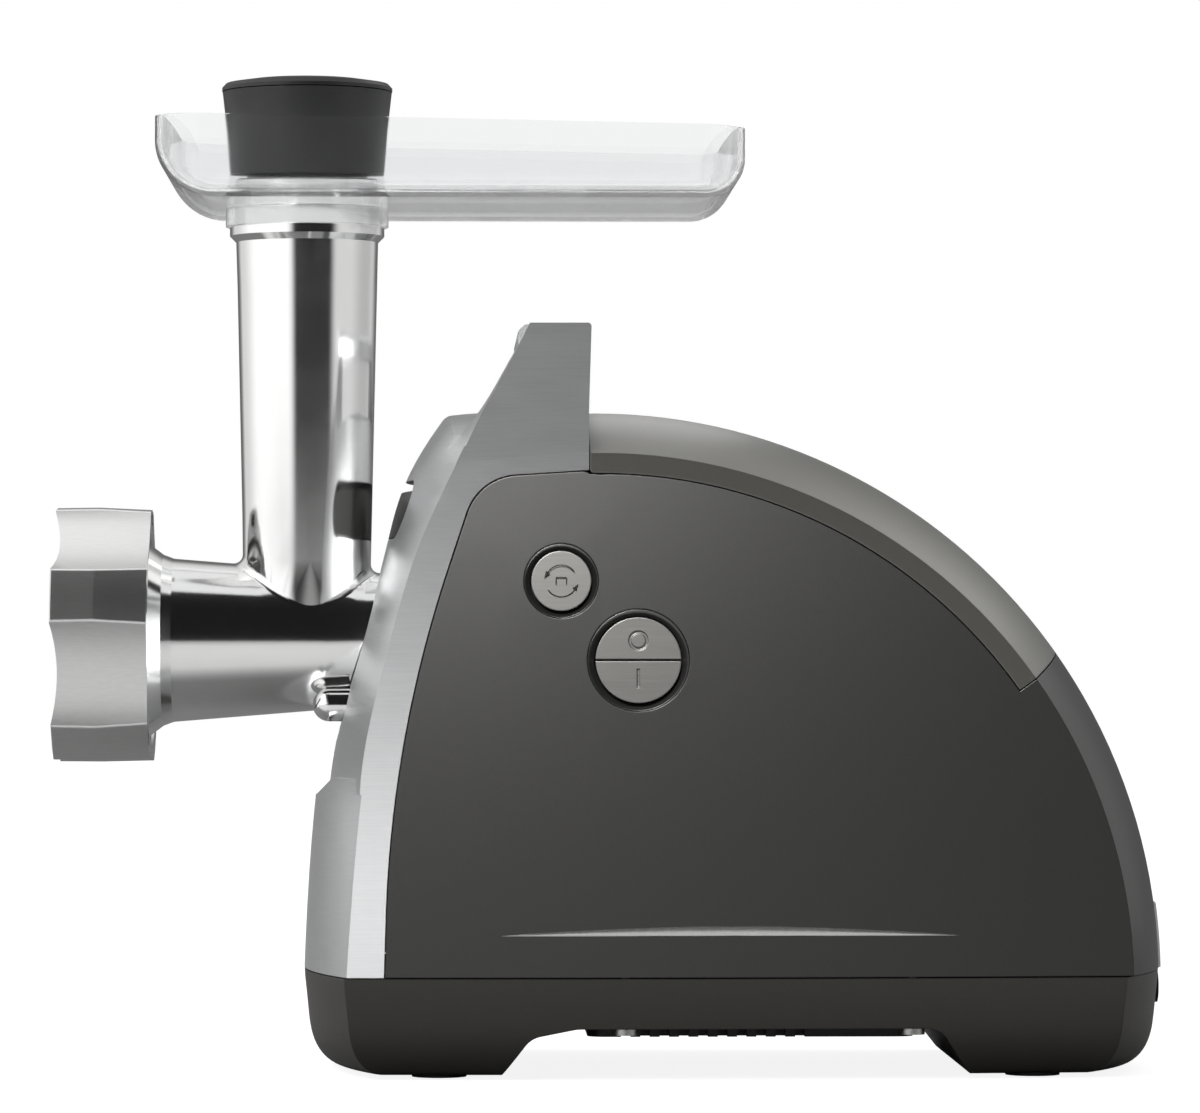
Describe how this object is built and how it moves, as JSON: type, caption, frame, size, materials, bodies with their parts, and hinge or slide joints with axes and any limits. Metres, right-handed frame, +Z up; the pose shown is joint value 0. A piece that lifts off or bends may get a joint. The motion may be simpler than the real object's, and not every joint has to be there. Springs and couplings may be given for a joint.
{
  "type": "electric meat grinder",
  "caption": "Countertop electric meat grinder with a quarter-round motor base, carrying handle, cast head, feed tube, clear tray and pusher.",
  "frame": {"origin": "on the floor, under the centre of the overall box", "axes": "+Z up, -X the way the minced meat comes out, -Y the side with the push buttons"},
  "size_m": [0.3738, 0.168, 0.3342],
  "materials": {
    "side_paint": "satin metallic",
    "lid_paint": "satin metallic",
    "base_plastic": "fine grain",
    "frame_steel": "satin",
    "cast_head": "polished",
    "nut_alloy": "polished",
    "plate_steel": "ground",
    "blade_steel": "ground",
    "machine_steel": "machined",
    "screw_steel": "zinc plated",
    "clear_plastic": "clear",
    "grip_plastic": "satin",
    "button_silver": "satin silver",
    "lock_plastic": "satin",
    "black_plastic": "fine grain",
    "rubber": "matte",
    "gear_nylon": "moulded",
    "gearbox_nylon": "moulded",
    "bronze": "machined",
    "copper": "varnished",
    "iron_laminations": "stacked sheets",
    "carbon": "pressed",
    "board": "varnished",
    "trim_silver": "satin"
  },
  "bodies": {
    "base": {"front_frame": "frame_steel", "right_shell": "side_paint", "left_shell": "side_paint", "seam_screws": "screw_steel", "base_tub": "base_plastic", "base_screws": "screw_steel", "vent_plate": "black_plastic", "vent_screws": "screw_steel", "rubber_feet": "rubber", "foot_screws": "screw_steel", "rear_plate": "trim_silver", "cord_gland": "black_plastic", "head_socket": "gearbox_nylon", "lock_spring": "machine_steel", "idler_pin": "machine_steel", "shaft_bushes": "bronze", "gearbox_case": "gearbox_nylon", "gearbox_cover": "gearbox_nylon", "gearbox_bolts": "screw_steel", "motor_stator": "iron_laminations", "field_coils": "copper", "motor_bracket_front": "black_plastic", "motor_bracket_rear": "black_plastic", "motor_bearings": "bronze", "brush_holders": "bronze", "carbon_brushes": "carbon", "motor_cradle": "machine_steel", "control_board": "board", "button_bezels": "black_plastic", "switch_block": "black_plastic", "storage_bin": "base_plastic", "hinge_pins": "machine_steel", "spare_plates": "plate_steel"},
    "drive": {"output_gear": "gear_nylon", "output_shaft": "machine_steel", "drive_socket": "machine_steel", "auger": "cast_head", "auger_tang": "machine_steel", "cross_knife": "blade_steel"},
    "idler": {"idler_pinion": "machine_steel", "idler_wheel": "gear_nylon"},
    "rotor": {"motor_shaft": "machine_steel", "armature_core": "iron_laminations", "armature_windings": "copper", "commutator": "copper", "cooling_fan": "black_plastic"},
    "head": {"head_body": "cast_head", "head_bush": "bronze", "plate_pin": "machine_steel"},
    "plate": {"hole_plate": "plate_steel"},
    "nut": {"ring_nut": "nut_alloy"},
    "tray": {"hopper_tray": "clear_plastic"},
    "pusher": {"pusher_stem": "grip_plastic", "pusher_cap": "grip_plastic"},
    "lid": {"storage_lid": "lid_paint"},
    "start": {"start_button": "button_silver"},
    "stop": {"stop_button": "button_silver"},
    "reverse": {"reverse_button": "button_silver"},
    "lock": {"lock_button": "lock_plastic"}
  },
  "joints": [
    {"name": "drive_spin", "type": "hinge", "parent": "base", "child": "drive", "pos_m": [0, 0, 0.1435], "axis": [1, 0, 0], "continuous": true},
    {"name": "idler_spin", "type": "hinge", "parent": "base", "child": "idler", "pos_m": [0, 0.02817, 0.1084], "axis": [1, 0, 0], "continuous": true},
    {"name": "rotor_spin", "type": "hinge", "parent": "base", "child": "rotor", "pos_m": [0, 0, 0.08], "axis": [1, 0, 0], "continuous": true},
    {"name": "head_turn", "type": "hinge", "parent": "base", "child": "head", "pos_m": [0, 0, 0.1435], "axis": [1, 0, 0], "range_deg": [0, 45]},
    {"name": "plate_out", "type": "slide", "parent": "head", "child": "plate", "axis": [-1, 0, 0], "range_m": [0, 0.0241]},
    {"name": "nut_turn", "type": "hinge", "parent": "plate", "child": "nut", "pos_m": [0, 0, 0.1435], "axis": [-1, 0, 0], "range_deg": [0, 2880]},
    {"name": "tray_lift", "type": "slide", "parent": "head", "child": "tray", "axis": [0, 0, 1], "range_m": [0, 0.06]},
    {"name": "pusher_lift", "type": "slide", "parent": "tray", "child": "pusher", "axis": [0, 0, 1], "range_m": [0, 0.15]},
    {"name": "lid_open", "type": "hinge", "parent": "base", "child": "lid", "pos_m": [-0.004, 0, 0.2135], "axis": [0, -1, 0], "range_deg": [0, 55]},
    {"name": "start_press", "type": "slide", "parent": "base", "child": "start", "axis": [0, 1, 0], "range_m": [0, 0.0025], "stiffness_N_per_m": 600, "springref_m": -0.001},
    {"name": "stop_press", "type": "slide", "parent": "base", "child": "stop", "axis": [0, 1, 0], "range_m": [0, 0.0025], "stiffness_N_per_m": 600, "springref_m": -0.001},
    {"name": "reverse_press", "type": "slide", "parent": "base", "child": "reverse", "axis": [0, 1, 0], "range_m": [0, 0.0025], "stiffness_N_per_m": 600, "springref_m": -0.001},
    {"name": "lock_press", "type": "slide", "parent": "base", "child": "lock", "axis": [1, 0, 0], "range_m": [0, 0.004], "stiffness_N_per_m": 800, "springref_m": -0.001}
  ],
  "couplings": [
    {"joint": "idler_spin", "follows": "drive_spin", "ratio": -4},
    {"joint": "rotor_spin", "follows": "drive_spin", "ratio": 28},
    {"joint": "plate_out", "follows": "nut_turn", "m_per_rad": 0.00047746}
  ]
}
